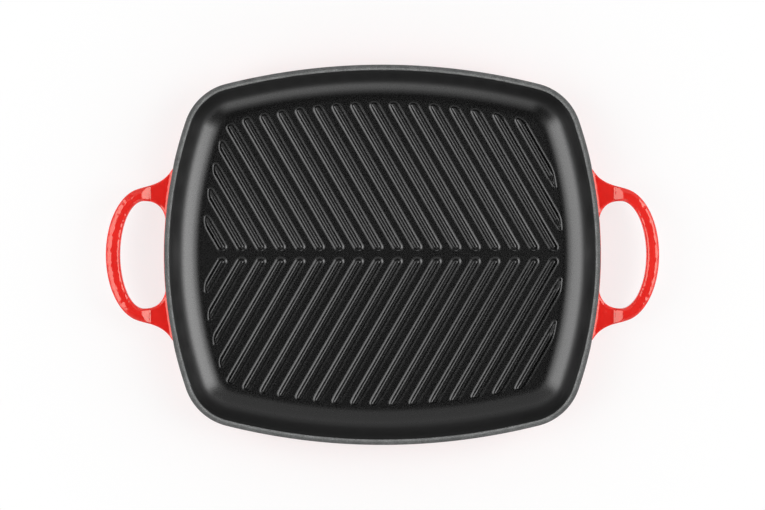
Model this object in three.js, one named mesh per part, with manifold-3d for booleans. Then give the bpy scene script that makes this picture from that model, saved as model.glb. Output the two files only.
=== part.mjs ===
// Enamelled cast-iron grill plate: a shallow tray with a chevron of ribs and a loop handle at each end.
// Millimetres. +Z is up, +X runs through the two handles and +Y points to the back of the hob.
// The origin is the middle of the flat base, on the surface that the plate stands on.

import * as THREE from "three";
import { mergeVertices } from "three/addons/utils/BufferGeometryUtils.js";
import Module from "manifold-3d";

const wasm = await Module();
wasm.setup();

const radians = THREE.MathUtils.degToRad;

// Outline over the rim: four crowned sides joined by corner arcs.
const plateLength = 360;
const plateWidth = 313;
const longSideRadius = 529;
const shortSideRadius = 341;
const cornerRadius = 47;
const leastCornerRadius = 2;

// Wall of the tray, from the rim through the cove to the cooking floor.
const wellDepth = 30;
const wallThickness = 4.3;
const wallDraft = radians(10);
const coveRadius = 25;

// Enamel coats and the rim. The seat gap parts pieces that meet on a curved face.
const enamelThickness = 0.6;
const rimBandHeight = 1.2;
const rimEdge = 0.5;
const baseStep = 0.4;
const baseEdge = 0.3;
const seatGap = 0.3;

// Ribs: two rows of parallel bars that meet the centre line at a slant, one row the mirror of the other.
// The first and last ribs' lines cross the centre line inside the field's left end and beyond its right end,
// and the others are spread evenly between them.
const ribsPerRow = 20;
const firstRibIn = 19.6;
const lastRibOut = 28.9;
const ribSlant = radians(60);
const ribWidth = 7;
const ribHeight = 4.2;
const ribCrestRadius = 2;
const ribCrestFlat = 0.6;
const ribRowGap = 7.6;
const ribMargin = 0.4;
const ribSharpCorner = 1.5;
const ribBluntCorner = 4;
const shortestRib = 12;

// Loop handles: an elliptical bar that stands a little proud of two flat, flared roots.
const handleReach = 48.6;
const loopOffset = 16.4;
const openingLength = 88.4;
const gripWidth = 11.9;
const neckWidth = 10.7;
const gripThickness = 11.5;
const gripRise = 2;
const gripDrop = 4;
const gripOuterRoundness = 2.2;
const gripInnerRoundness = 3.2;
const rootRoundness = 5;
const rootSpread = 25;
const rootReturn = 22;
const rootLead = 12;
const outerRootStart = radians(77.2);
const outerRootSweep = 23.2;
const innerRootStart = radians(89.2);
const innerRootSweep = 14.3;
const rootFootInset = 0.6;
const rootDepth = 4;
const stepOffset = 11;
const stepRun = 5;

// Facets.
const shortSideSteps = 4;
const cornerSteps = 6;
const longSideSteps = 5;
const coveSteps = 7;
const crestSteps = 3;
const ribCornerSteps = 3;
const loopSteps = 9;
const rootSteps = 10;
const barSides = 16;

// Heights and insets that follow from the driving sizes.
const floorTop = baseStep + wallThickness;
const rimTop = floorTop + wellDepth;
const rimSeat = rimTop - rimBandHeight;
const coveCentre = floorTop + coveRadius;
const wallRise = wellDepth - coveRadius * (1 - Math.sin(wallDraft));
const rimWidth = wallThickness / Math.cos(wallDraft);
const floorInset = rimWidth + coveRadius * Math.cos(wallDraft) + wallRise * Math.tan(wallDraft);
const ironThickness = wallThickness - enamelThickness - seatGap;
const rootThickness = gripThickness - gripRise;
const rootMiddle = rimTop - gripDrop - gripRise - rootThickness / 2;
const plateEnd = plateLength / 2;

const blackEnamel = new THREE.MeshStandardMaterial({ color: 0x1f1f20, roughness: 0.45, metalness: 0 });
const greyEnamel = new THREE.MeshStandardMaterial({ color: 0x6f7270, roughness: 0.7, metalness: 0 });
const redEnamel = new THREE.MeshStandardMaterial({ color: 0xdd1f1b, roughness: 0.15, metalness: 0 });

// Points along an arc, from one angle to another, both included.
function arc(centre, radius, from, to, steps) {
  return Array.from({ length: steps + 1 }, (_, k) => {
    const angle = THREE.MathUtils.lerp(from, to, k / steps);
    return new THREE.Vector2(centre.x + radius * Math.cos(angle), centre.y + radius * Math.sin(angle));
  });
}

// The plate's outline drawn in by an inset, counter-clockwise from +X. Drawing in keeps every arc's centre,
// so the same point of two outlines lies on one line square to the wall.
function plateOutline(inset) {
  const corner = Math.max(cornerRadius - inset, leastCornerRadius);
  const backCentre = new THREE.Vector2(0, plateWidth / 2 - longSideRadius);
  const endCentre = new THREE.Vector2(plateEnd - shortSideRadius, 0);
  const backReach = longSideRadius - inset - corner;
  const endReach = shortSideRadius - inset - corner;

  // The corner's centre lies at those two distances from the side arcs' centres.
  const between = endCentre.clone().sub(backCentre);
  const span = between.length();
  const along = (backReach ** 2 - endReach ** 2 + span ** 2) / (2 * span);
  const across = Math.sqrt(backReach ** 2 - along ** 2);
  const direction = between.divideScalar(span);
  const cornerCentre = new THREE.Vector2(
    backCentre.x + direction.x * along + direction.y * across,
    backCentre.y + direction.y * along - direction.x * across,
  );

  const endAngle = Math.atan2(cornerCentre.y - endCentre.y, cornerCentre.x - endCentre.x);
  const backAngle = Math.atan2(cornerCentre.y - backCentre.y, cornerCentre.x - backCentre.x);
  const quarter = [
    ...arc(endCentre, shortSideRadius - inset, 0, endAngle, shortSideSteps),
    ...arc(cornerCentre, corner, endAngle, backAngle, cornerSteps).slice(1),
    ...arc(backCentre, longSideRadius - inset, backAngle, Math.PI / 2, longSideSteps).slice(1),
  ];
  const half = [...quarter, ...mirrored(quarter, -1, 1).slice(1)];
  return [...half, ...mirrored(half, 1, -1).slice(1, -1)];
}

// The points mirrored in one axis, in the reverse order, so that the outline goes on in the same sense.
function mirrored(points, x, y) {
  return points.map((p) => new THREE.Vector2(p.x * x, p.y * y)).reverse();
}

// One point of the wall's section, at a tilt from level, on the face that lies an offset outside the well.
function covePoint(offset, tilt) {
  const radius = coveRadius + offset;
  return { inset: floorInset - radius * Math.sin(tilt), z: coveCentre - radius * Math.cos(tilt) };
}

// Where the same face stands at a height, on the straight part of the wall or in the cove below it.
function wallPoint(offset, z) {
  const radius = coveRadius + offset;
  if (z < coveCentre - radius * Math.sin(wallDraft)) {
    return { inset: floorInset - Math.sqrt(radius ** 2 - (coveCentre - z) ** 2), z };
  }
  return { inset: (wallThickness - offset) / Math.cos(wallDraft) + (rimTop - z) * Math.tan(wallDraft), z };
}

// A face of the wall's section from the floor's edge to a height, as insets and heights.
function wallFace(offset, firstTilt, top) {
  const lastTilt = Math.PI / 2 - wallDraft;
  const cove = Array.from({ length: coveSteps + 1 }, (_, k) =>
    covePoint(offset, THREE.MathUtils.lerp(firstTilt, lastTilt, k / coveSteps)),
  );
  return [...cove, wallPoint(offset, top)];
}

// Rings of points at the section's insets and heights.
function plateRings(section) {
  return section.map(({ inset, z }) => plateOutline(inset).map((p) => new THREE.Vector3(p.x, p.y, z)));
}

// A solid skinned over rings of equal length. Its ends are capped by fans from each end ring's middle,
// or the last ring joins the first where the section is a loop.
function skin(rings, isLoop = false) {
  const sides = rings[0].length;
  const points = rings.flat();
  const faces = [];
  const bands = isLoop ? rings.length : rings.length - 1;
  for (let j = 0; j < bands; j++) {
    const low = j * sides;
    const high = ((j + 1) % rings.length) * sides;
    for (let i = 0; i < sides; i++) {
      const next = (i + 1) % sides;
      faces.push(low + i, low + next, high + next, low + i, high + next, high + i);
    }
  }
  if (!isLoop) {
    const last = (rings.length - 1) * sides;
    const first = points.push(middle(rings[0])) - 1;
    const final = points.push(middle(rings.at(-1))) - 1;
    for (let i = 0; i < sides; i++) {
      const next = (i + 1) % sides;
      faces.push(first, next, i, final, last + i, last + next);
    }
  }
  const geometry = new THREE.BufferGeometry().setFromPoints(points);
  geometry.setIndex(faces);
  geometry.computeVertexNormals();
  return geometry;
}

function middle(points) {
  return points.reduce((sum, p) => sum.add(p), new THREE.Vector3()).divideScalar(points.length);
}

// What is left of a closed geometry once another is cut away from it.
function cut(geometry, cutter) {
  const left = toSolid(geometry).subtract(toSolid(cutter)).getMesh();
  const result = new THREE.BufferGeometry();
  result.setAttribute("position", new THREE.BufferAttribute(left.vertProperties, left.numProp));
  result.setIndex(new THREE.BufferAttribute(left.triVerts, 1));
  result.computeVertexNormals();
  return result;
}

function toSolid(geometry) {
  const bare = geometry.clone();
  bare.deleteAttribute("normal");
  const merged = mergeVertices(bare);
  return new wasm.Manifold(
    new wasm.Mesh({
      numProp: 3,
      vertProperties: merged.attributes.position.array,
      triVerts: new Uint32Array(merged.index.array),
    }),
  );
}

function piece(name, geometry, material) {
  const mesh = new THREE.Mesh(geometry, material);
  mesh.name = name;
  return mesh;
}

// The iron tray: under the floor, up the outside, over the rim's seat and down into the well.
function plateCasting() {
  const outside = wallFace(ironThickness, 0, rimSeat);
  const inside = wallFace(0, 0, rimSeat).reverse();
  return piece("plate_casting", skin(plateRings([...outside, ...inside])), blackEnamel);
}

// The bare grey band on top of the wall, with both edges taken off.
function rimBand() {
  const outer = (z) => wallPoint(wallThickness, z).inset;
  const inner = (z) => wallPoint(0, z).inset;
  const section = [
    { inset: outer(rimSeat), z: rimSeat },
    { inset: outer(rimTop - rimEdge), z: rimTop - rimEdge },
    { inset: outer(rimTop) + rimEdge, z: rimTop },
    { inset: inner(rimTop) - rimEdge, z: rimTop },
    { inset: inner(rimTop - rimEdge), z: rimTop - rimEdge },
    { inset: inner(rimSeat), z: rimSeat },
  ];
  return piece("rim_band", skin(plateRings(section), true), greyEnamel);
}

// The gloss coat round the outside of the wall, from the edge of the base to the rim band.
function wallEnamel() {
  const clearTilt = Math.asin(seatGap / coveRadius);
  const outside = wallFace(wallThickness, clearTilt, rimSeat);
  const inside = wallFace(wallThickness - enamelThickness, clearTilt, rimSeat).reverse();
  return piece("wall_enamel", skin(plateRings([...outside, ...inside]), true), redEnamel);
}

// The coat under the floor, whose flat face carries the plate.
function baseEnamel() {
  const ironUnderside = floorTop - ironThickness;
  const section = [
    { inset: floorInset + baseEdge, z: 0 },
    { inset: floorInset, z: baseEdge },
    { inset: floorInset, z: ironUnderside },
  ];
  return piece("base_enamel", skin(plateRings(section)), redEnamel);
}

// A rib's section as pairs of half width and height, from its toe over the flank to the crest.
// The flank is the straight line from the toe that touches the crest's arc.
function ribSection() {
  const flat = ribCrestFlat / 2;
  const arcHeight = ribHeight - ribCrestRadius;
  const toe = ribWidth / 2 - flat;
  const flankTilt = Math.atan2(arcHeight, toe) + Math.asin(ribCrestRadius / Math.hypot(toe, arcHeight));
  const crest = Array.from({ length: crestSteps + 1 }, (_, k) => {
    const tilt = flankTilt * (1 - k / crestSteps);
    return {
      halfWidth: flat + ribCrestRadius * Math.sin(tilt),
      height: arcHeight + ribCrestRadius * Math.cos(tilt),
    };
  });
  return [{ halfWidth: ribWidth / 2, height: 0 }, ...crest];
}

// The two distances along a line at which it crosses a convex outline, or null where it misses.
function chord(outline, start, direction) {
  const square = new THREE.Vector2(-direction.y, direction.x);
  const crossings = [];
  outline.forEach((a, i) => {
    const b = outline[(i + 1) % outline.length];
    const sideA = a.clone().sub(start).dot(square);
    const sideB = b.clone().sub(start).dot(square);
    if (sideA < 0 !== sideB < 0) {
      crossings.push(a.clone().lerp(b, sideA / (sideA - sideB)).sub(start).dot(direction));
    }
  });
  return crossings.length === 2 ? crossings.sort((p, q) => p - q) : null;
}

// A polygon with its corners rounded: a small radius where a corner is sharp and a larger one where it is blunt.
// Both shrink with the given share, and no corner takes up more than its part of a side.
function roundCorners(corners, share) {
  return corners.flatMap((corner, i) => {
    const toLast = corners.at(i - 1).clone().sub(corner);
    const toNext = corners[(i + 1) % corners.length].clone().sub(corner);
    const room = 0.45 * Math.min(toLast.length(), toNext.length());
    toLast.normalize();
    toNext.normalize();
    const angle = Math.acos(toLast.dot(toNext));
    const bluntness = THREE.MathUtils.clamp((3 * angle) / Math.PI - 1, 0, 1);
    const wanted = share * THREE.MathUtils.lerp(ribSharpCorner, ribBluntCorner, bluntness);
    const setback = Math.min(wanted / Math.tan(angle / 2), room);
    const towards = toLast.clone().add(toNext).normalize();
    const centre = corner.clone().addScaledVector(towards, setback / Math.cos(angle / 2));
    const spoke = corner.clone().addScaledVector(toLast, setback).sub(centre);
    return Array.from({ length: ribCornerSteps + 1 }, (_, k) => {
      const turn = ((Math.PI - angle) * k) / ribCornerSteps;
      return spoke.clone().rotateAround(new THREE.Vector2(), turn).add(centre);
    });
  });
}

// One ring of a rib in the back row: its two ends follow the rib field's outline and the centre line,
// all drawn in alike as the rib rises. Null where the rib has no room.
function ribRing(crossing, { halfWidth, height }) {
  const drawnIn = ribWidth / 2 - halfWidth;
  const field = plateOutline(floorInset + ribMargin + drawnIn);
  const direction = new THREE.Vector2(-Math.cos(ribSlant), Math.sin(ribSlant));
  const square = new THREE.Vector2(direction.y, -direction.x);
  const [left, right] = [-halfWidth, halfWidth].map((aside) => {
    const start = new THREE.Vector2(crossing, 0).addScaledVector(square, aside);
    const reach = chord(field, start, direction);
    const leaveCentre = (ribRowGap / 2 + drawnIn - start.y) / direction.y;
    if (!reach || reach[1] - Math.max(reach[0], leaveCentre) < shortestRib - 2 * drawnIn) return null;
    const at = (distance) => start.clone().addScaledVector(direction, distance);
    return { near: at(Math.max(reach[0], leaveCentre)), far: at(reach[1]) };
  });
  if (!left || !right) return null;
  const ring = roundCorners([left.near, right.near, right.far, left.far], (2 * halfWidth) / ribWidth);
  return ring.map((p) => new THREE.Vector3(p.x, p.y, floorTop + height));
}

// Both rows of ribs, numbered from the left. A rib of the front row is its partner in the back row, mirrored.
function ribs() {
  const fieldEnd = plateEnd - floorInset - ribMargin;
  const section = ribSection();
  const rows = new THREE.Group();
  for (let number = 1; number <= ribsPerRow; number++) {
    const share = (number - 1) / (ribsPerRow - 1);
    const crossing = THREE.MathUtils.lerp(firstRibIn - fieldEnd, fieldEnd + lastRibOut, share);
    const rings = section.map((level) => ribRing(crossing, level));
    if (rings.includes(null)) continue;
    const label = String(number).padStart(2, "0");
    const mirroredRings = rings.map((ring) => ring.map((p) => new THREE.Vector3(p.x, -p.y, p.z)).reverse());
    rows.add(piece(`rib_back_${label}`, skin(rings), blackEnamel));
    rows.add(piece(`rib_front_${label}`, skin(mirroredRings), blackEnamel));
  }
  return rows;
}

// One edge of a handle in plan, from the buried end of its back root to the middle of the grip. The loop is
// an ellipse about a line beyond the plate's end, and the root sweeps from it into the wall.
function handleEdge({ grip, neck, foot, start, sweep }) {
  const centre = plateEnd + loopOffset;
  const onEllipse = (angle) =>
    new THREE.Vector2(centre + (grip - centre) * Math.cos(angle), neck * Math.sin(angle));
  const tangent = new THREE.Vector2(-(grip - centre) * Math.sin(start), neck * Math.cos(start)).normalize();

  // The foot lies just inside the rim's own outline, and the root leaves it along the wall.
  const wallRadius = shortSideRadius - rootFootInset;
  const lean = Math.asin(foot / wallRadius);
  const footPoint = new THREE.Vector2(plateEnd - shortSideRadius + wallRadius * Math.cos(lean), foot);
  const alongWall = new THREE.Vector2(Math.sin(lean), -Math.cos(lean)).multiplyScalar(Math.sign(foot - neck));

  const root = new THREE.CubicBezierCurve(
    onEllipse(start),
    onEllipse(start).addScaledVector(tangent, rootLead),
    footPoint.clone().addScaledVector(alongWall, sweep),
    footPoint,
  );
  const buried = footPoint.clone().sub(new THREE.Vector2(rootDepth, 0));
  const loop = Array.from({ length: loopSteps }, (_, k) => onEllipse(start * (1 - (k + 1) / loopSteps)));
  return [buried, ...root.getPoints(rootSteps).reverse(), ...loop];
}

// The sections of one handle, from the back root round the grip to the front root: the two edges' points
// and how far each section belongs to the flat root.
function handleSections() {
  const grip = plateEnd + handleReach;
  const neck = openingLength / 2;
  const outerEdge = handleEdge({
    grip,
    neck: neck + neckWidth,
    foot: neck + neckWidth + rootSpread,
    start: outerRootStart,
    sweep: outerRootSweep,
  });
  const innerEdge = handleEdge({
    grip: grip - gripWidth,
    neck,
    foot: neck - rootReturn,
    start: innerRootStart,
    sweep: innerRootSweep,
  });
  const half = outerEdge.map((outer, k) => {
    const inner = innerEdge[k];
    const pastStep = (inner.x + outer.x) / 2 - plateEnd - stepOffset;
    return { outer, inner, flat: 1 - THREE.MathUtils.clamp(pastStep / stepRun, 0, 1) };
  });
  const flip = (p) => new THREE.Vector2(p.x, -p.y);
  const otherHalf = half.map(({ outer, inner, flat }) => ({ outer: flip(outer), inner: flip(inner), flat }));
  return [...half, ...otherHalf.reverse().slice(1)];
}

// A ring round the handle's bar: a rounded box at the roots, and a crowned bar at the grip whose crown
// lies nearer to the opening.
function handleRing({ inner, outer, flat }) {
  const topHalf = rootThickness / 2 + gripRise * (1 - flat);
  return Array.from({ length: barSides }, (_, k) => {
    const angle = (2 * Math.PI * k) / barSides;
    const gripRoundness = Math.cos(angle) > 0 ? gripOuterRoundness : gripInnerRoundness;
    const power = 2 / THREE.MathUtils.lerp(gripRoundness, rootRoundness, flat);
    const round = (value) => Math.sign(value) * Math.abs(value) ** power;
    const across = inner.clone().lerp(outer, (1 + round(Math.cos(angle))) / 2);
    const half = Math.sin(angle) > 0 ? topHalf : rootThickness / 2;
    return new THREE.Vector3(across.x, across.y, rootMiddle + half * round(Math.sin(angle)));
  });
}

// A handle for the +X end. Its roots run into the wall and are cut back to clear the enamel by the seat gap.
function handleGeometry() {
  const clearFace = wallFace(wallThickness + seatGap, 0, rimTop);
  const wallBody = skin(plateRings(clearFace));
  return cut(skin(handleSections().map(handleRing)), wallBody);
}

function handles() {
  const pair = new THREE.Group();
  const geometry = handleGeometry();
  const right = piece("right_handle", geometry, redEnamel);
  const left = piece("left_handle", geometry, redEnamel);
  left.rotation.z = Math.PI;
  pair.add(left, right);
  return pair;
}

const grillPlate = new THREE.Group();
grillPlate.name = "grill_plate";
grillPlate.add(plateCasting(), rimBand(), wallEnamel(), baseEnamel(), ribs(), handles());

export default grillPlate;
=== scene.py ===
import math

import bpy
import numpy as np
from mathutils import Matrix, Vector


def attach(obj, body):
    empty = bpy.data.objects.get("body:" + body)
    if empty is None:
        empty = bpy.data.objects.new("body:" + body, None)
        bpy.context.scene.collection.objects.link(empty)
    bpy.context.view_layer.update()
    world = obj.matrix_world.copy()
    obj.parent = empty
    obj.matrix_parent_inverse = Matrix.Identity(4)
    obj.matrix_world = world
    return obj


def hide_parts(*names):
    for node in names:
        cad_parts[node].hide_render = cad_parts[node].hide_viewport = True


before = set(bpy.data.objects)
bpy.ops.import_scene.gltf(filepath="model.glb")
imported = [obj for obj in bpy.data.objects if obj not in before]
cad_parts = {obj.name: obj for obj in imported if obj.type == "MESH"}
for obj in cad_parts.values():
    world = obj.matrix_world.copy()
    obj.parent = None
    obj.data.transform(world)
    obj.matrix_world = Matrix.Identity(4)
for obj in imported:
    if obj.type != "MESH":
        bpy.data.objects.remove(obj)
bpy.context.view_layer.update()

mm = 0.001

# outline over the rim, and the wall's section from the rim down to the floor
plate = {
    "length": 360, "width": 313,
    "longSideRadius": 529, "shortSideRadius": 341, "cornerRadius": 47, "leastCorner": 2,
    "wellDepth": 30, "wallThickness": 4.3, "wallDraft": math.radians(10), "coveRadius": 25,
    "enamel": 0.6, "baseStep": 0.4, "seatGap": 0.3,
    "shortSideSteps": 30, "cornerSteps": 22, "longSideSteps": 28, "coveSteps": 32, "wallSteps": 4,
}

plateEnd = plate["length"] / 2
ironThickness = plate["wallThickness"] - plate["enamel"] - plate["seatGap"]
floorTop = plate["baseStep"] + plate["wallThickness"]
rimTop = floorTop + plate["wellDepth"]
coveCentre = floorTop + plate["coveRadius"]
draftSin, draftCos = math.sin(plate["wallDraft"]), math.cos(plate["wallDraft"])
draftTan = draftSin / draftCos
wallRise = plate["wellDepth"] - plate["coveRadius"] * (1 - draftSin)
floorInset = plate["wallThickness"] / draftCos + plate["coveRadius"] * draftCos + wallRise * draftTan


def clamp(value):
    return min(max(value, 0.0), 1.0)


def lerp(start, end, share):
    return start + (end - start) * share


def smoothStep(value):
    return clamp(value) ** 2 * (3 - 2 * clamp(value))


def arcPoints(centre, radius, start, end, steps):
    angles = np.linspace(start, end, steps + 1)
    return np.stack([centre[0] + radius * np.cos(angles), centre[1] + radius * np.sin(angles)], axis=1)


# the plate's outline drawn in by an inset, counter-clockwise from +X
def plateOutline(inset):
    corner = max(plate["cornerRadius"] - inset, plate["leastCorner"])
    backRadius, endRadius = plate["longSideRadius"] - inset, plate["shortSideRadius"] - inset
    backCentre = np.array([0.0, plate["width"] / 2 - plate["longSideRadius"]])
    endCentre = np.array([plateEnd - plate["shortSideRadius"], 0.0])
    backReach, endReach = backRadius - corner, endRadius - corner
    span = np.linalg.norm(endCentre - backCentre)
    way = (endCentre - backCentre) / span
    along = (backReach ** 2 - endReach ** 2 + span ** 2) / (2 * span)
    across = math.sqrt(backReach ** 2 - along ** 2)
    cornerCentre = backCentre + way * along + np.array([way[1], -way[0]]) * across
    endAngle = math.atan2(*(cornerCentre - endCentre)[::-1])
    backAngle = math.atan2(*(cornerCentre - backCentre)[::-1])
    quarter = np.concatenate([
        arcPoints(endCentre, endRadius, 0, endAngle, plate["shortSideSteps"]),
        arcPoints(cornerCentre, corner, endAngle, backAngle, plate["cornerSteps"])[1:],
        arcPoints(backCentre, backRadius, backAngle, math.pi / 2, plate["longSideSteps"])[1:],
    ])
    half = np.concatenate([quarter, (quarter * [-1, 1])[::-1][1:]])
    return np.concatenate([half, (half * [1, -1])[::-1][1:-1]])


# inset of the wall's face at a height, for a face that lies an offset outside the well
def wallInset(offset, z):
    radius = plate["coveRadius"] + offset
    if z < coveCentre - radius * draftSin:
        return floorInset - math.sqrt(radius ** 2 - (coveCentre - z) ** 2)
    return (plate["wallThickness"] - offset) / draftCos + (rimTop - z) * draftTan


# (inset, height) pairs of such a face, from the floor's edge up to a height
def wallFace(offset, firstTilt, top):
    radius = plate["coveRadius"] + offset
    tilts = np.linspace(firstTilt, math.pi / 2 - plate["wallDraft"], plate["coveSteps"] + 1)
    cove = [(floorInset - radius * math.sin(t), coveCentre - radius * math.cos(t)) for t in tilts]
    straight = np.linspace(cove[-1][1], top, plate["wallSteps"] + 1)[1:]
    return cove + [(wallInset(offset, z), z) for z in straight]


def plateRings(section):
    outlines = [plateOutline(inset) for inset, _ in section]
    return [np.column_stack([line, np.full(len(line), z)]) for line, (_, z) in zip(outlines, section)]


# skin over rings of equal length: closed on itself, or capped by fans; a seam given as the place in the
# ring where its second half starts caps the last ring by a strip from half to half instead
def skinRings(rings, isLoop=False, seam=None):
    sides, count = len(rings[0]), len(rings)
    points = np.concatenate(rings)
    faces = []
    for j in range(count if isLoop else count - 1):
        low, high = j * sides, (j + 1) % count * sides
        for i in range(sides):
            k = (i + 1) % sides
            faces.append((low + i, low + k, high + k, high + i))
    if isLoop:
        return points, faces
    last, first = (count - 1) * sides, count * sides
    points = np.concatenate([points, [rings[0].mean(axis=0)]])
    faces += [(first, (i + 1) % sides, i) for i in range(sides)]
    if seam is None:
        points = np.concatenate([points, [rings[-1].mean(axis=0)]])
        faces += [(first + 1, last + i, last + (i + 1) % sides) for i in range(sides)]
    else:
        for j in range(sides // 2 - 1):
            there, back = last + seam + j, seam - 1 - j
            faces.append((last + back % sides, there, there + 1, last + (back - 1) % sides))
    return points, faces


def makePiece(name, points, faces, material, nodes, sharpAngle=40):
    mesh = bpy.data.meshes.new(name)
    mesh.from_pydata([tuple(p) for p in np.asarray(points) * mm], [], faces)
    mesh.validate()
    mesh.polygons.foreach_set("use_smooth", [True] * len(mesh.polygons))
    mesh.set_sharp_from_angle(angle=math.radians(sharpAngle))
    mesh.materials.append(material)
    piece = bpy.data.objects.new(name, mesh)
    bpy.context.scene.collection.objects.link(piece)
    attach(piece, "root")
    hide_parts(*nodes)
    return piece


def addNode(tree, kind, **settings):
    node = tree.nodes.new(kind)
    for key, value in settings.items():
        if key in node.inputs:
            node.inputs[key].default_value = value
        else:
            setattr(node, key, value)
    return node


def newMaterial(name):
    material = bpy.data.materials.new(name)
    material.use_nodes = True
    return material, material.node_tree, material.node_tree.nodes["Principled BSDF"]


noiseLow, noiseHigh = 0.3, 0.7  # where nearly all of a noise lies


def noiseOf(tree, coords, scale, detail=2.0, roughness=0.5):
    noise = addNode(tree, "ShaderNodeTexNoise", Scale=scale, Detail=detail, Roughness=roughness)
    tree.links.new(coords.outputs["Object"], noise.inputs["Vector"])
    return noise.outputs["Fac"]


def rampOf(tree, source, stops):
    ramp = addNode(tree, "ShaderNodeValToRGB")
    elements = ramp.color_ramp.elements
    while len(elements) < len(stops):
        elements.new(0.5)
    for element, (place, colour) in zip(elements, stops):
        element.position = place
        element.color = (*colour, 1)
    tree.links.new(source, ramp.inputs["Fac"])
    return ramp.outputs["Color"]


def rangeOf(tree, source, low, high, fromLow=noiseLow, fromHigh=noiseHigh):
    node = addNode(tree, "ShaderNodeMapRange")
    for key, value in {"From Min": fromLow, "From Max": fromHigh, "To Min": low, "To Max": high}.items():
        node.inputs[key].default_value = value
    tree.links.new(source, node.inputs["Value"])
    return node.outputs["Result"]


def bumpOf(tree, height, strength, distance, under=None):
    bump = addNode(tree, "ShaderNodeBump", Strength=strength, Distance=distance)
    tree.links.new(height, bump.inputs["Height"])
    if under is not None:
        tree.links.new(under, bump.inputs["Normal"])
    return bump.outputs["Normal"]


# satin black enamel of the cooking side: a fine pebbled grain
blackFinish = {
    "dark": (0.001, 0.001, 0.001), "light": (0.002, 0.002, 0.002),
    "smooth": 0.23, "rough": 0.29, "ior": 1.8, "sheen": 0.012, "sheenRoughness": 0.5,
    "grainScale": 900, "grainDepth": 0.000015, "grainStrength": 0.6,
    "swellScale": 120, "swellDepth": 0.00001, "swellStrength": 0.5,
    "wallRough": 0.2, "wallFrom": 0.008, "wallTo": 0.02,  # rougher up the wall, by height in metres
}


def makeBlackEnamel():
    material, tree, shader = newMaterial("satinBlackEnamel")
    coords = addNode(tree, "ShaderNodeTexCoord")
    grain = noiseOf(tree, coords, blackFinish["grainScale"], 3)
    swell = noiseOf(tree, coords, blackFinish["swellScale"], 2)
    colour = rampOf(tree, swell, [(noiseLow, blackFinish["dark"]), (noiseHigh, blackFinish["light"])])
    tree.links.new(colour, shader.inputs["Base Color"])
    split = addNode(tree, "ShaderNodeSeparateXYZ")
    tree.links.new(coords.outputs["Object"], split.inputs[0])
    upWall = rangeOf(tree, split.outputs["Z"], 0, blackFinish["wallRough"],
                     blackFinish["wallFrom"], blackFinish["wallTo"])
    roughness = addNode(tree, "ShaderNodeMath", operation="ADD")
    tree.links.new(rangeOf(tree, grain, blackFinish["smooth"], blackFinish["rough"]), roughness.inputs[0])
    tree.links.new(upWall, roughness.inputs[1])
    tree.links.new(roughness.outputs[0], shader.inputs["Roughness"])
    shader.inputs["IOR"].default_value = blackFinish["ior"]
    shader.inputs["Sheen Weight"].default_value = blackFinish["sheen"]
    shader.inputs["Sheen Roughness"].default_value = blackFinish["sheenRoughness"]
    under = bumpOf(tree, swell, blackFinish["swellStrength"], blackFinish["swellDepth"])
    relief = bumpOf(tree, grain, blackFinish["grainStrength"], blackFinish["grainDepth"], under)
    tree.links.new(relief, shader.inputs["Normal"])
    return material


# bare grey band on the rim: matte and finely speckled
rimFinish = {
    "dark": (0.085, 0.087, 0.086), "middle": (0.14, 0.143, 0.141), "light": (0.22, 0.225, 0.222),
    "darkAt": 0.55, "middleAt": 0.75, "lightAt": 0.95,
    "smooth": 0.55, "rough": 0.75, "patchScale": 160, "patchShare": 0.5,
    "speckScale": 1100, "speckRoughness": 0.6, "speckDepth": 0.00005, "speckStrength": 0.5,
    "outerShade": 0.68, "innerShade": 1.34, "shadeFrom": 0.5, "shadeTo": 0.8,  # paler towards the inner edge
}


def makeRimEnamel():
    material, tree, shader = newMaterial("speckledGreyRim")
    coords = addNode(tree, "ShaderNodeTexCoord")
    speck = noiseOf(tree, coords, rimFinish["speckScale"], 2, rimFinish["speckRoughness"])
    patch = noiseOf(tree, coords, rimFinish["patchScale"], 3)
    mixed = addNode(tree, "ShaderNodeMath", operation="MULTIPLY_ADD")
    tree.links.new(patch, mixed.inputs[0])
    mixed.inputs[1].default_value = rimFinish["patchShare"]
    tree.links.new(speck, mixed.inputs[2])
    stops = [(rimFinish[tone + "At"], rimFinish[tone]) for tone in ("dark", "middle", "light")]
    place = addNode(tree, "ShaderNodeAttribute", attribute_name="acrossRim")
    shade = rangeOf(tree, place.outputs["Fac"], rimFinish["outerShade"], rimFinish["innerShade"],
                    rimFinish["shadeFrom"], rimFinish["shadeTo"])
    shaded = addNode(tree, "ShaderNodeVectorMath", operation="SCALE")
    tree.links.new(rampOf(tree, mixed.outputs[0], stops), shaded.inputs[0])
    tree.links.new(shade, shaded.inputs["Scale"])
    tree.links.new(shaded.outputs[0], shader.inputs["Base Color"])
    tree.links.new(rangeOf(tree, patch, rimFinish["smooth"], rimFinish["rough"]), shader.inputs["Roughness"])
    relief = bumpOf(tree, speck, rimFinish["speckStrength"], rimFinish["speckDepth"])
    tree.links.new(relief, shader.inputs["Normal"])
    return material


# glossy red enamel of the outside and the handles, with a slight orange-peel
redFinish = {
    "deep": (0.8, 0.022, 0.017), "bright": (0.88, 0.03, 0.023),
    "smooth": 0.06, "rough": 0.13, "ior": 1.78, "gleam": (1.0, 0.9, 0.78),
    "peelScale": 380, "peelDepth": 0.00022, "swellScale": 160, "swellDepth": 0.0007,
    "bumpStrength": 0.5, "poolScale": 38,
}


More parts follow.
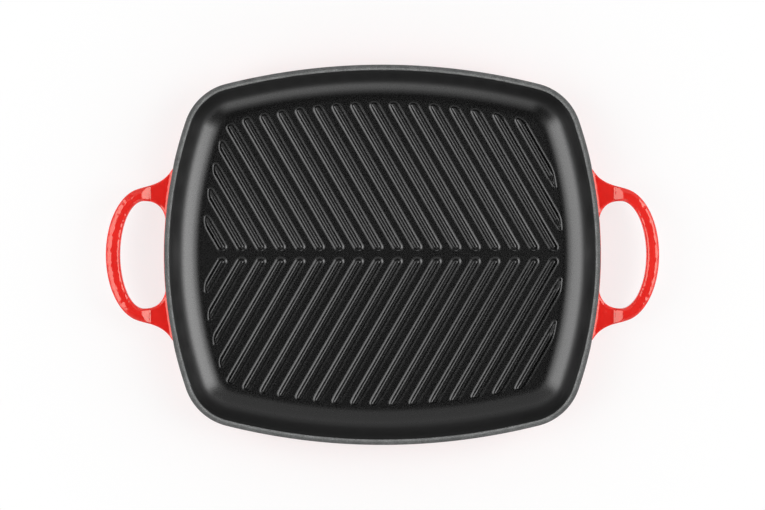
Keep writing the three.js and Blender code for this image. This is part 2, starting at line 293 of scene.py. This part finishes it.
def makeRedEnamel():
    material, tree, shader = newMaterial("glossRedEnamel")
    coords = addNode(tree, "ShaderNodeTexCoord")
    pool = noiseOf(tree, coords, redFinish["poolScale"], 3)
    peel = noiseOf(tree, coords, redFinish["peelScale"], 2)
    colour = rampOf(tree, pool, [(noiseLow, redFinish["deep"]), (noiseHigh, redFinish["bright"])])
    tree.links.new(colour, shader.inputs["Base Color"])
    tree.links.new(rangeOf(tree, peel, redFinish["smooth"], redFinish["rough"]), shader.inputs["Roughness"])
    shader.inputs["IOR"].default_value = redFinish["ior"]
    shader.inputs["Specular Tint"].default_value = (*redFinish["gleam"], 1)
    swell = noiseOf(tree, coords, redFinish["swellScale"], 1)
    under = bumpOf(tree, swell, redFinish["bumpStrength"], redFinish["swellDepth"])
    relief = bumpOf(tree, peel, redFinish["bumpStrength"], redFinish["peelDepth"], under)
    tree.links.new(relief, shader.inputs["Normal"])
    return material


blackEnamel = makeBlackEnamel()
rimEnamel = makeRimEnamel()
redEnamel = makeRedEnamel()
print("materials:", blackEnamel.name, rimEnamel.name, redEnamel.name)

# the grey land on top of the wall: red enamel rolls over its outer edge between the handles' feet
rim = {
    "land": 1.2, "outerEdge": 0.1, "outerRound": 0.25, "innerRound": 0.5, "crown": 0.12,
    "redEdge": 0.45, "redHalfLength": 64, "redFade": 14, "redEndsFrom": 0.8, "roundSteps": 5,
}
rimSeat = rimTop - rim["land"]


def makeTray():
    outside = wallFace(ironThickness, 0, rimSeat)
    inside = wallFace(0, 0, rimSeat)[::-1]
    points, faces = skinRings(plateRings(outside + inside))
    return makePiece("cookingTray", points, faces, blackEnamel, ["plate_casting"])


# rings that pass from one section to another of the same count where the red edge shows
def redEdgeRings(plain, rolled):
    outline = plateOutline(0)
    redEnd = rim["redHalfLength"] + rim["redFade"]
    isEnd = np.abs(outline[:, 0]) > plateEnd * rim["redEndsFrom"]
    shares = [smoothStep((redEnd - abs(y)) / rim["redFade"]) for y in outline[:, 1]]
    shares = np.where(isEnd, shares, 0.0)[:, None]
    return [lerp(a, b, shares) for a, b in zip(plateRings(plain), plateRings(rolled))]


def rimSection(outer):
    inner = wallInset(0, rimTop)
    section = [(outer, rimSeat), (outer, rimTop - rim["outerRound"] - rim["crown"])]
    for t in np.linspace(0, math.pi / 2, rim["roundSteps"] + 1)[1:]:
        section.append((outer + rim["outerRound"] * (1 - math.cos(t)),
                        rimTop - rim["outerRound"] * (1 - math.sin(t)) - rim["crown"]))
    section.append(((outer + inner) / 2, rimTop))
    for t in np.linspace(math.pi / 2, 0, rim["roundSteps"] + 1):
        section.append((inner - rim["innerRound"] * (1 - math.cos(t)),
                        rimTop - rim["innerRound"] * (1 - math.sin(t)) - rim["crown"]))
    return section + [(wallInset(0, rimSeat), rimSeat)]


def makeRim():
    rings = redEdgeRings(rimSection(rim["outerEdge"]), rimSection(rim["outerEdge"] + rim["redEdge"]))
    points, faces = skinRings(rings, True)
    piece = makePiece("rimLand", points, faces, rimEnamel, ["rim_band"])
    shares = [clamp(inset / wallInset(0, rimTop)) for inset, _ in rimSection(rim["outerEdge"])]
    across = piece.data.attributes.new("acrossRim", "FLOAT", "POINT")
    across.data.foreach_set("value", np.repeat(shares, len(rings[0])))
    return piece


# red coats of the wall and the base; where the wall's coat isn't rolled over the rim it ends just below it
coat = {
    "roll": 1.0, "rolledBelow": 0.25, "plainBelow": 0.1, "plainInset": 0.5, "rollSteps": 5,
    "backTuck": 0.2, "backLand": 1.3, "backTop": 1.5, "baseEdge": 0.35, "baseEdgeSteps": 4,
}


# the wall coat's section: up the wall, over its top edge and back down behind
def coatSection(top, inset):
    thick = plate["wallThickness"]
    clearTilt = math.asin(plate["seatGap"] / plate["coveRadius"])
    section = wallFace(thick, clearTilt, top - coat["roll"])
    edge = section[-1][0]
    for t in np.linspace(0, math.pi / 2, coat["rollSteps"] + 1)[1:]:
        section.append((lerp(inset, edge, math.cos(t)), top - coat["roll"] * (1 - math.sin(t))))
    section.append((max(inset, edge + coat["backTuck"]), rimSeat - coat["backLand"]))
    return section + wallFace(thick - plate["enamel"], clearTilt, rimSeat - coat["backTop"])[::-1]


def makeWallCoat():
    plain = coatSection(rimSeat - coat["plainBelow"], coat["plainInset"])
    rolled = coatSection(rimTop - coat["rolledBelow"], rim["outerEdge"] + rim["redEdge"])
    points, faces = skinRings(redEdgeRings(plain, rolled), True)
    return makePiece("wallCoat", points, faces, redEnamel, ["wall_enamel"])


def makeBaseCoat():
    edge = coat["baseEdge"]
    section = [(floorInset + edge * (1 - math.sin(t)), edge * (1 - math.cos(t)))
               for t in np.linspace(0, math.pi / 2, coat["baseEdgeSteps"] + 1)]
    section.append((floorInset, floorTop - ironThickness))
    points, faces = skinRings(plateRings(section))
    return makePiece("baseCoat", points, faces, redEnamel, ["base_enamel"])


trayPieces = [makeTray(), makeRim(), makeWallCoat(), makeBaseCoat()]
print("tray:", ", ".join(f"{piece.name} {len(piece.data.vertices)} points" for piece in trayPieces))

# ribs: parallel bars whose toes run out into the floor, one row mirrored in the centre line
ribs = {
    "perRow": 20, "firstIn": 19.6, "lastOut": 28.9, "slant": math.radians(60),
    "width": 5.2, "height": 3.6, "crestRadius": 1.35, "crestFlat": 1.1, "sunk": 0.25,
    "toeRadius": 2.5, "runOutRadius": 5, "runOutTilt": math.radians(15),
    "rowGap": 7.6, "margin": 0.4, "endTrim": 0.8, "fieldShift": 0.4,
    "leastCorner": 2.2, "tipCorner": 1.25, "cornerSetback": 3.2, "veryBlunt": math.radians(130),
    "sharpShare": 0.68, "bluntShare": 0.3, "veryBluntShare": 0.55,  # most of a side that a corner may take
    "cutCorner": 0.6, "cutReach": 0.5, "cutCrestReach": 1.8,  # near ends that a wall cuts before the gap
    "crestBack": 3.0, "crestInset": 0.7, "crestCorner": 0.05, "crestSetback": 0.44,
    "tipHeight": 0.66, "tipRun": 6, "sideRun": 11, "mostSideRun": 0.45,
    "runOutSteps": 4, "toeSteps": 6, "crestSteps": 8, "cornerSteps": 8, "sideSteps": 11, "sharpAngle": 60,
}


# (half width, height) pairs from the toe's run-out over the flank to the crest
def ribSection():
    flat = ribs["crestFlat"] / 2
    arcHeight = ribs["height"] - ribs["crestRadius"]
    reach = ribs["width"] / 2 - flat
    flank = math.atan2(arcHeight, reach) + math.asin(ribs["crestRadius"] / math.hypot(reach, arcHeight))
    toe = ribs["width"] / 2 + ribs["toeRadius"] * math.tan(flank / 2)
    wider = ribs["runOutRadius"] - ribs["toeRadius"]
    runOut = toe + wider * math.sin(ribs["runOutTilt"])
    lifted = wider * (1 - math.cos(ribs["runOutTilt"]))
    section = [(runOut, -ribs["sunk"])]
    for t in np.linspace(0, ribs["runOutTilt"], ribs["runOutSteps"] + 1)[:-1]:
        section.append((runOut - ribs["runOutRadius"] * math.sin(t),
                        ribs["runOutRadius"] * (1 - math.cos(t))))
    for t in np.linspace(ribs["runOutTilt"], flank, ribs["toeSteps"] + 1):
        section.append((toe - ribs["toeRadius"] * math.sin(t),
                        ribs["toeRadius"] * (1 - math.cos(t)) + lifted))
    for t in np.linspace(flank, 0, ribs["crestSteps"] + 1):
        section.append((flat + ribs["crestRadius"] * math.sin(t),
                        arcHeight + ribs["crestRadius"] * math.cos(t) + lifted))
    return section


# how far along a line it enters and leaves a convex outline
def chordOf(outline, start, way):
    square = np.array([-way[1], way[0]])
    side = (outline - start) @ square
    nextSide = np.roll(side, -1)
    crossing = np.nonzero((side < 0) != (nextSide < 0))[0]
    share = side[crossing] / (side[crossing] - nextSide[crossing])
    ends = outline[crossing] + (np.roll(outline, -1, axis=0)[crossing] - outline[crossing]) * share[:, None]
    return sorted((ends - start) @ way)


# points along a side, close together near both of its ends
def sidePoints(start, end):
    length = np.linalg.norm(end - start)
    run = min(ribs["sideRun"], length * ribs["mostSideRun"])
    places = np.linspace(0, run, ribs["sideSteps"] + 1)[1:]
    return [lerp(start, end, place / length) for place in (*places, *(length - places[::-1]))]


# the largest share of a side that a corner of this angle may take
def sideShare(angle):
    if angle < math.pi / 2:
        return ribs["sharpShare"]
    return ribs["bluntShare"] if angle < ribs["veryBlunt"] else ribs["veryBluntShare"]


# a four-cornered plan with round corners, wider ones where the corner is blunt
def roundCorners(corners, leasts, mostSetback, spare=0.0):
    arcs = []
    for i, (corner, least) in enumerate(zip(corners, leasts)):
        back, ahead = corners[i - 1] - corner, corners[(i + 1) % 4] - corner
        backLength, aheadLength = np.linalg.norm(back), np.linalg.norm(ahead)
        back, ahead = back / backLength, ahead / aheadLength
        angle = math.acos(back @ ahead)
        reach = mostSetback * (2 if angle > ribs["veryBlunt"] else 1)
        radius = max(least, reach * math.tan(angle / 2)) + spare
        most = sideShare(angle) * min(backLength, aheadLength)
        setback = min(radius / math.tan(angle / 2), most)
        bisector = (back + ahead) / np.linalg.norm(back + ahead)
        centre = corner + bisector * setback / math.cos(angle / 2)
        spoke = corner + back * setback - centre
        turns = np.linspace(0, math.pi - angle, ribs["cornerSteps"] + 1)
        square = np.array([-spoke[1], spoke[0]])
        arcs.append([centre + spoke * math.cos(turn) + square * math.sin(turn) for turn in turns])
    nearLeft, nearRight, farRight, farLeft = arcs
    rightSide = sidePoints(nearRight[-1], farRight[0])
    leftSide = sidePoints(farLeft[-1], nearLeft[0])
    return np.array(nearLeft + nearRight + rightSide + farRight + farLeft + leftSide)


# the floor's outline that the ribs keep within, grown outwards or drawn in
def ribField(grown):
    outline = plateOutline(floorInset + ribs["margin"] - grown)
    return outline * [1 - ribs["endTrim"] / plateEnd, 1] + [ribs["fieldShift"], 0]


# a line along the rib: its start on the crossing, and how far along it meets the field's edge twice
def ribLine(crossing, aside, field):
    way = np.array([-math.cos(ribs["slant"]), math.sin(ribs["slant"])])
    start = np.array([crossing, 0.0]) + np.array([way[1], -way[0]]) * aside
    return start, way, *chordOf(field, start, way)


# a rib's plan at its base, grown outwards where its toe runs out into the floor
def baseRing(crossing, grown, leasts):
    field = ribField(grown)
    ends = []
    for side in (-1, 1):
        start, way, enter, leave = ribLine(crossing, side * (ribs["width"] / 2 + grown), field)
        enter = max(enter - ribs["cutReach"], (ribs["rowGap"] / 2 - grown - start[1]) / way[1])
        ends.append((start + way * enter, start + way * leave))
    (leftNear, leftFar), (rightNear, rightFar) = ends
    corners = [leftNear, rightNear, rightFar, leftFar]
    return roundCorners(corners, leasts, ribs["cornerSetback"], grown)


# the narrow flat along the crest: cut square by the gap, and along the field's edge at the walls
def crestRing(crossing, gapEnd):
    field = ribField(-ribs["crestInset"])
    ends = []
    for side in (-1, 1):
        start, way, enter, leave = ribLine(crossing, side * ribs["crestFlat"] / 2, field)
        near = max(enter - ribs["cutCrestReach"], gapEnd + ribs["crestBack"])
        ends.append((start + way * near, start + way * leave))
    (leftNear, leftFar), (rightNear, rightFar) = ends
    corners = [leftNear, rightNear, rightFar, leftFar]
    return roundCorners(corners, [ribs["crestCorner"]] * 4, ribs["crestSetback"])


# share of its height that a rib keeps at a distance from an end that meets a wall
def dipAt(toEnd):
    return lerp(ribs["tipHeight"], 1, smoothStep(toEnd / ribs["tipRun"]))


# rings from the toe to the crest, which dips towards the ends that meet a wall
def ribRings(crossing):
    start, way, enter, leave = ribLine(crossing, 0, ribField(0))
    gapEnd = ribs["rowGap"] / 2 / way[1]
    isCut = enter > gapEnd
    nearLeast = ribs["cutCorner"] if isCut else ribs["leastCorner"]
    leasts = [nearLeast, nearLeast, ribs["tipCorner"], ribs["tipCorner"]]
    base, crest = baseRing(crossing, 0, leasts), crestRing(crossing, gapEnd)
    rings = []
    for halfWidth, height in ribSection():
        grown = halfWidth - ribs["width"] / 2
        share = (halfWidth - ribs["crestFlat"] / 2) / (ribs["width"] / 2 - ribs["crestFlat"] / 2)
        plan = baseRing(crossing, grown, leasts) if grown > 0 else lerp(crest, base, share)
        along = (plan - start) @ way
        toEnd = np.minimum(leave - along, along - enter) if isCut else leave - along
        dips = [dipAt(run) if height > 0 else 1 for run in toEnd]
        rings.append(np.column_stack([plan, floorTop + height * np.array(dips)]))
    return rings


def makeRibs():
    fieldEnd = plateEnd - floorInset - ribs["margin"]
    crossings = np.linspace(ribs["firstIn"] - fieldEnd, fieldEnd + ribs["lastOut"], ribs["perRow"])
    pieces = []
    for number, crossing in enumerate(crossings, start=1):
        points, faces = skinRings(ribRings(crossing), seam=ribs["cornerSteps"] + 1)
        for row, flip in (("back", 1), ("front", -1)):
            rowPoints, rowFaces = points * [1, flip, 1], [face[::flip] for face in faces]
            pieces.append(makePiece(f"{row}Rib{number:02d}", rowPoints, rowFaces, blackEnamel,
                                    [f"rib_{row}_{number:02d}"], ribs["sharpAngle"]))
    return pieces


ribPieces = makeRibs()
print("ribs:", len(ribPieces), "of", len(ribPieces[0].data.vertices), "points each")

# loop handles: a crowned bar that stands proud of two flat roots; corners are (across, down, fullness)
handle = {
    "loopOffset": 16.4, "openingLength": 88.4, "neckWidth": 10.7,
    "left": {"reach": 47.9, "gripWidth": 11.9, "crownEdge": (4.7, 3.1, 0.26)},
    "right": {"reach": 48.1, "gripWidth": 10.6, "crownEdge": (3.1, 2.3, 0.26)},
    "gripThickness": 11.5, "gripRise": 4.4, "gripDrop": 4,
    "rootSpread": 25, "rootReturn": 22, "rootLead": 12, "footInset": 0.6, "footDive": 1, "diveFrom": 0.8,
    "outerStart": math.radians(77.2), "outerSweep": 23.2,
    "innerStart": math.radians(89.2), "innerSweep": 14.3,
    "stepOffset": 11, "stepRun": 9, "stepEase": 1.3, "stepBlend": 0.6,
    "topFillet": 3.2, "topFade": 1, "bottomFillet": 1.5, "bottomFade": 2,  # fades are down a corner's drop
    "wallHalfLength": 120,
    "rootCorners": {"outerTop": (1.4, 1.4, 0.55), "innerTop": (2.4, 2.2, 0.55),
                    "innerLow": (2, 2, 0.55), "outerLow": (2, 2, 0.55)},
    "gripCorners": {"innerTop": (2.8, 3.5, 0.48), "innerLow": (4, 4.5, 0.55), "outerLow": (5, 5.5, 0.55)},
    # length, size and start of the waves along the crown's edges, and what sets the inner edge apart
    "waves": [(13, 0.35, 0.4), (7.1, 0.28, 2.1), (4.3, 0.2, 4.0)],
    "innerWaveRate": 1.7, "innerWaveShift": 20, "innerWaveSize": 0.6,
    "rootSteps": 56, "loopSteps": 96, "cornerSteps": 14, "topSteps": 12,
}
rootThickness = handle["gripThickness"] - handle["gripRise"]
rootTop = rimTop - handle["gripDrop"] - handle["gripRise"]
rootBottom = rootTop - rootThickness


# x of the wall's outer face near the plate's +X end
def wallFaceX(y, z):
    radius = plate["shortSideRadius"] - wallInset(plate["wallThickness"], z)
    aside = min(abs(y), handle["wallHalfLength"])
    return plateEnd - plate["shortSideRadius"] + math.sqrt(radius ** 2 - aside ** 2)


# one edge of the handle in plan, from its foot in the wall to the middle of the grip
def handleEdge(grip, neck, foot, start, sweep):
    centre = plateEnd + handle["loopOffset"]

    def onEllipse(angle):
        return np.array([centre + (grip - centre) * math.cos(angle), neck * math.sin(angle)])

    tangent = np.array([-(grip - centre) * math.sin(start), neck * math.cos(start)])
    radius = plate["shortSideRadius"] - handle["footInset"]
    lean = math.asin(foot / radius)
    footPoint = np.array([plateEnd - plate["shortSideRadius"] + radius * math.cos(lean), foot])
    alongWall = np.array([math.sin(lean), -math.cos(lean)]) * math.copysign(1, foot - neck)
    p0 = onEllipse(start)
    p1 = p0 + tangent / np.linalg.norm(tangent) * handle["rootLead"]
    p2 = footPoint + alongWall * sweep
    edge = []
    for s in np.linspace(1, 0, handle["rootSteps"] + 1):
        near = (1 - s) ** 3 * p0 + 3 * (1 - s) ** 2 * s * p1
        edge.append(near + 3 * (1 - s) * s * s * p2 + s ** 3 * footPoint)
    edge += [onEllipse(start * (1 - k / handle["loopSteps"])) for k in range(1, handle["loopSteps"] + 1)]
    return np.array(edge)


# unit normals of an edge, on the side given by the sign
def edgeNormals(edge, sign):
    mirrored = np.concatenate([edge, edge[-2:-1] * [1, -1]])  # carries on past the middle of the grip
    tangents = np.gradient(mirrored, axis=0)[:-1]
    normals = np.column_stack([-tangents[:, 1], tangents[:, 0]]) * sign
    return normals / np.linalg.norm(normals, axis=1)[:, None]


# share of the ramp from the root up to the grip
def stepShare(x):
    toGo = 1 - clamp((x - plateEnd - handle["stepOffset"]) / handle["stepRun"])
    return 1 - toGo ** handle["stepEase"]


# the lower of two heights, blended where they are close
def softMin(first, second, blend):
    share = clamp(0.5 + 0.5 * (second - first) / blend)
    return lerp(second, first, share) - blend * share * (1 - share)


# a round corner's (inward, drop) curves, from the edge in to the flat
def cornerCurves(across, down, fullness):
    t = np.linspace(0, 1, handle["cornerSteps"] + 1)
    inward = across * (3 * (1 - t) * t * t * (1 - fullness) + t ** 3)
    return inward, down * ((1 - t) ** 3 + 3 * (1 - t) ** 2 * t * (1 - fullness))


# how far the edges of the hand-dressed crown wander along the grip
def unevenAt(along):
    return sum(size * math.sin(math.tau * along / length + start) for length, size, start in handle["waves"])


# rise of a fillet against the wall's outer face
def filletLift(plan, z, radius):
    near = clamp((plan[0] - wallFaceX(plan[1], z)) / radius)
    return radius * (1 - math.sqrt(1 - (1 - near) ** 2))


# the bar's section at one station: round corners drawn in along each edge's own normal, and a top that is
# the lower of the ramp from the root and the grip's own crown
def handleRing(inner, outer, innerNormal, outerNormal, dive, side, crownEdge):
    raised = stepShare((inner[0] + outer[0]) / 2)
    root, grip = handle["rootCorners"], {"outerTop": crownEdge, **handle["gripCorners"]}
    innerAlong = side * inner[1] * handle["innerWaveRate"] + handle["innerWaveShift"]
    uneven = {"outerTop": unevenAt(side * outer[1]),
              "innerTop": unevenAt(innerAlong) * handle["innerWaveSize"]}
    grip = {key: (wide + uneven.get(key, 0), down, fullness) for key, (wide, down, fullness) in grip.items()}
    curves = {key: cornerCurves(*[lerp(a, b, raised) for a, b in zip(root[key], grip[key])]) for key in grip}

    def topDrop(corners, fromOuter, fromInner):
        return max(np.interp(fromOuter, *cornerCurves(*corners["outerTop"])),
                   np.interp(fromInner, *cornerCurves(*corners["innerTop"])))

    def placeTop(plan):
        fromOuter, fromInner = np.linalg.norm(plan - outer), np.linalg.norm(plan - inner)
        rootDrop = topDrop(root, fromOuter, fromInner)
        ramp = rootTop + (handle["gripRise"] + handle["stepBlend"]) * stepShare(plan[0]) - rootDrop
        crown = rootTop + handle["gripRise"] - topDrop(grip, fromOuter, fromInner)
        lift = filletLift(plan, rootTop, handle["topFillet"]) * clamp(1 - rootDrop / handle["topFade"])
        return (*plan, softMin(ramp, crown, handle["stepBlend"]) + lift)

    def placeLow(plan, drop):
        lift = filletLift(plan, rootBottom, handle["bottomFillet"]) * clamp(1 - drop / handle["bottomFade"])
        return (*plan, rootBottom + drop - lift)

    def between(start, end):
        return [lerp(start, end, k / handle["topSteps"]) for k in range(1, handle["topSteps"])]

    outerTop = [outer + outerNormal * inward for inward in curves["outerTop"][0]]
    innerTop = [inner + innerNormal * inward for inward in curves["innerTop"][0][::-1]]
    innerLow = [(inner + innerNormal * inward, drop) for inward, drop in zip(*curves["innerLow"])]
    outerLow = [(outer + outerNormal * inward, drop) for inward, drop in zip(*curves["outerLow"])][::-1]
    lowFlat = [(plan, 0.0) for plan in between(innerLow[-1][0], outerLow[0][0])]
    ring = [placeTop(plan) for plan in outerTop + between(outerTop[-1], innerTop[0]) + innerTop]
    ring += [placeLow(plan, drop) for plan, drop in innerLow + lowFlat + outerLow]
    # the feet run into the wall, out of sight
    sunk = [min(x, wallFaceX(y, z) - handle["footDive"]) for x, y, z in ring]
    return np.array([(lerp(x, deep, dive), y, z) for (x, y, z), deep in zip(ring, sunk)])


# one loop at the plate's +X end, from foot to foot
def handleMesh(build):
    grip = plateEnd + build["reach"]
    neck = handle["openingLength"] / 2
    outerNeck = neck + handle["neckWidth"]
    outer = handleEdge(grip, outerNeck, outerNeck + handle["rootSpread"],
                       handle["outerStart"], handle["outerSweep"])
    inner = handleEdge(grip - build["gripWidth"], neck, neck - handle["rootReturn"],
                       handle["innerStart"], handle["innerSweep"])
    rootShares = np.linspace(1, 0, handle["rootSteps"] + 1).tolist() + [0.0] * handle["loopSteps"]
    dives = [smoothStep((s - handle["diveFrom"]) / (1 - handle["diveFrom"])) for s in rootShares]
    stations = list(zip(inner, outer, edgeNormals(inner, 1), edgeNormals(outer, -1), dives))
    rings = [handleRing(*station, 1, build["crownEdge"]) for station in stations]
    rings += [handleRing(*station, -1, build["crownEdge"]) * [1, -1, 1] for station in stations[::-1][1:]]
    return skinRings(rings)


def makeHandles():
    points, faces = handleMesh(handle["right"])
    right = makePiece("rightLoop", points, faces, redEnamel, ["right_handle"])
    points, faces = handleMesh(handle["left"])
    left = makePiece("leftLoop", points * [-1, -1, 1], faces, redEnamel, ["left_handle"])
    return left, right


leftLoop, rightLoop = makeHandles()
print("handles:", leftLoop.name, rightLoop.name, len(leftLoop.data.vertices), "points each")

# studio: large soft boxes to the left and right, weaker ones behind and in front, dark overhead
studio = {
    # upright boxes; a layer's top and bottom in degrees off the zenith, half width in degrees, brightness
    "lamps": {
        "leftBox": {"turn": 181.5, "away": 0.9,
                    "layers": [(14, 82, 36, 0.45), (18, 81, 32.5, 1.2), (30, 73, 30.5, 1.1)]},
        "rightBox": {"turn": 4, "away": 0.9,
                     "layers": [(14, 82, 30.5, 0.5), (18, 81, 27, 1.25), (30, 73, 25, 1.7)]},
        "backBox": {"turn": 90, "away": 1.0, "layers": [(14, 67, 45, 0.38)]},
        "frontBox": {"turn": 278.5, "away": 1.0, "layers": [(34, 79, 21, 0.4), (47, 76, 14, 0.7)]},
    },
    "dome": [(0.0, 0.38), (0.26, 0.38), (0.52, 0.05), (0.8, 0.008)],  # brightness by the sine of elevation
    "layerStep": 0.03,  # each layer stands this share further off, so that none share a plane
    "floorReach": 6.0, "floorLevel": -0.0002,  # a hair under the base
    # the floor whitens away from the plate's middle, so that the shadow stays beside the plate
    "floorColour": (0.97, 0.965, 0.96),
    "nearWhite": 0.68, "farWhite": 1.0, "whiteFrom": 0.18, "whiteTo": 0.34,
}


def makeLamps():
    for name, lamp in studio["lamps"].items():
        turn = math.radians(lamp["turn"])
        way = Vector((math.cos(turn), math.sin(turn), 0))
        for number, (high, low, half, bright) in enumerate(lamp["layers"], start=1):
            away = lamp["away"] * (1 + studio["layerStep"] * number)
            bottom, top = (away / math.tan(math.radians(lean)) for lean in (low, high))
            data = bpy.data.lights.new(f"{name}{number}", "AREA")
            data.shape = "RECTANGLE"
            data.size, data.size_y = 2 * away * math.tan(math.radians(half)), top - bottom
            data.energy = bright * math.pi * data.size * data.size_y
            box = bpy.data.objects.new(data.name, data)
            box.location = way * away + Vector((0, 0, rimTop * mm + (bottom + top) / 2))
            box.rotation_euler = way.to_track_quat("Z", "Y").to_euler()
            box.visible_camera = False
            bpy.context.scene.collection.objects.link(box)


# 1 on rays that look at the background: from the camera or through glass, and the same with gloss added
def lookRays(tree):
    path = addNode(tree, "ShaderNodeLightPath")
    first = addNode(tree, "ShaderNodeMath", operation="MAXIMUM")
    second = addNode(tree, "ShaderNodeMath", operation="MAXIMUM")
    tree.links.new(path.outputs["Is Camera Ray"], first.inputs[0])
    tree.links.new(path.outputs["Is Transmission Ray"], first.inputs[1])
    tree.links.new(first.outputs[0], second.inputs[0])
    tree.links.new(path.outputs["Is Glossy Ray"], second.inputs[1])
    return first.outputs[0], second.outputs[0]


def makeWorld():
    world = bpy.data.worlds.new("studioDome")
    bpy.context.scene.world = world
    world.use_nodes = True
    tree = world.node_tree
    tree.nodes.clear()
    coords = addNode(tree, "ShaderNodeTexCoord")
    split = addNode(tree, "ShaderNodeSeparateXYZ")
    tree.links.new(coords.outputs["Generated"], split.inputs[0])
    dome = rampOf(tree, split.outputs["Z"], [(place, (level,) * 3) for place, level in studio["dome"]])
    seen, _ = lookRays(tree)
    colour = addNode(tree, "ShaderNodeMix", data_type="RGBA")
    tree.links.new(seen, colour.inputs["Factor"])
    tree.links.new(dome, colour.inputs[6])
    colour.inputs[7].default_value = (1, 1, 1, 1)
    background = addNode(tree, "ShaderNodeBackground", Strength=1.0)
    output = addNode(tree, "ShaderNodeOutputWorld")
    tree.links.new(colour.outputs[2], background.inputs["Color"])
    tree.links.new(background.outputs[0], output.inputs["Surface"])


def makeFloor():
    reach, level = studio["floorReach"], studio["floorLevel"]
    mesh = bpy.data.meshes.new("tableTop")
    corners = [(x * reach, y * reach, level) for x, y in ((-1, -1), (1, -1), (1, 1), (-1, 1))]
    mesh.from_pydata(corners, [], [(0, 1, 2, 3)])
    floor = bpy.data.objects.new("tableTop", mesh)
    bpy.context.scene.collection.objects.link(floor)
    material = bpy.data.materials.new("paleTable")
    material.use_nodes = True
    tree = material.node_tree
    tree.nodes.clear()
    _, seen = lookRays(tree)
    coords = addNode(tree, "ShaderNodeTexCoord")
    distance = addNode(tree, "ShaderNodeVectorMath", operation="LENGTH")
    tree.links.new(coords.outputs["Object"], distance.inputs[0])
    whiter = rangeOf(tree, distance.outputs["Value"], studio["nearWhite"], studio["farWhite"],
                     studio["whiteFrom"], studio["whiteTo"])
    share = addNode(tree, "ShaderNodeMath", operation="MULTIPLY")
    tree.links.new(seen, share.inputs[0])
    tree.links.new(whiter, share.inputs[1])
    matte = addNode(tree, "ShaderNodeBsdfDiffuse", Color=(*studio["floorColour"], 1))
    white = addNode(tree, "ShaderNodeEmission", Color=(1, 1, 1, 1), Strength=1.0)
    mix = addNode(tree, "ShaderNodeMixShader")
    output = addNode(tree, "ShaderNodeOutputMaterial")
    tree.links.new(share.outputs[0], mix.inputs[0])
    tree.links.new(matte.outputs[0], mix.inputs[1])
    tree.links.new(white.outputs[0], mix.inputs[2])
    tree.links.new(mix.outputs[0], output.inputs["Surface"])
    mesh.materials.append(material)


makeLamps()
makeWorld()
makeFloor()
print("studio:", ", ".join(studio["lamps"]))

# camera almost straight above the middle of the plate, a little behind and to the left of it
view = {"away": 3.0, "aside": -0.020, "behind": 0.062, "frameWidth": 0.6287, "sensor": 36, "clipEnd": 50}


def makeCamera():
    data = bpy.data.cameras.new("overhead")
    data.sensor_fit = "HORIZONTAL"
    data.sensor_width = view["sensor"]
    data.lens = data.sensor_width * view["away"] / view["frameWidth"]
    data.clip_end = view["clipEnd"]
    camera = bpy.data.objects.new("overhead", data)
    camera.location = (view["aside"], view["behind"], rimTop * mm + view["away"])
    pitch, roll = -math.atan(view["behind"] / view["away"]), math.atan(view["aside"] / view["away"])
    camera.rotation_euler = (pitch, roll, 0)
    bpy.context.scene.collection.objects.link(camera)
    bpy.context.scene.camera = camera


makeCamera()
bpy.context.scene.view_settings.view_transform = "Standard"
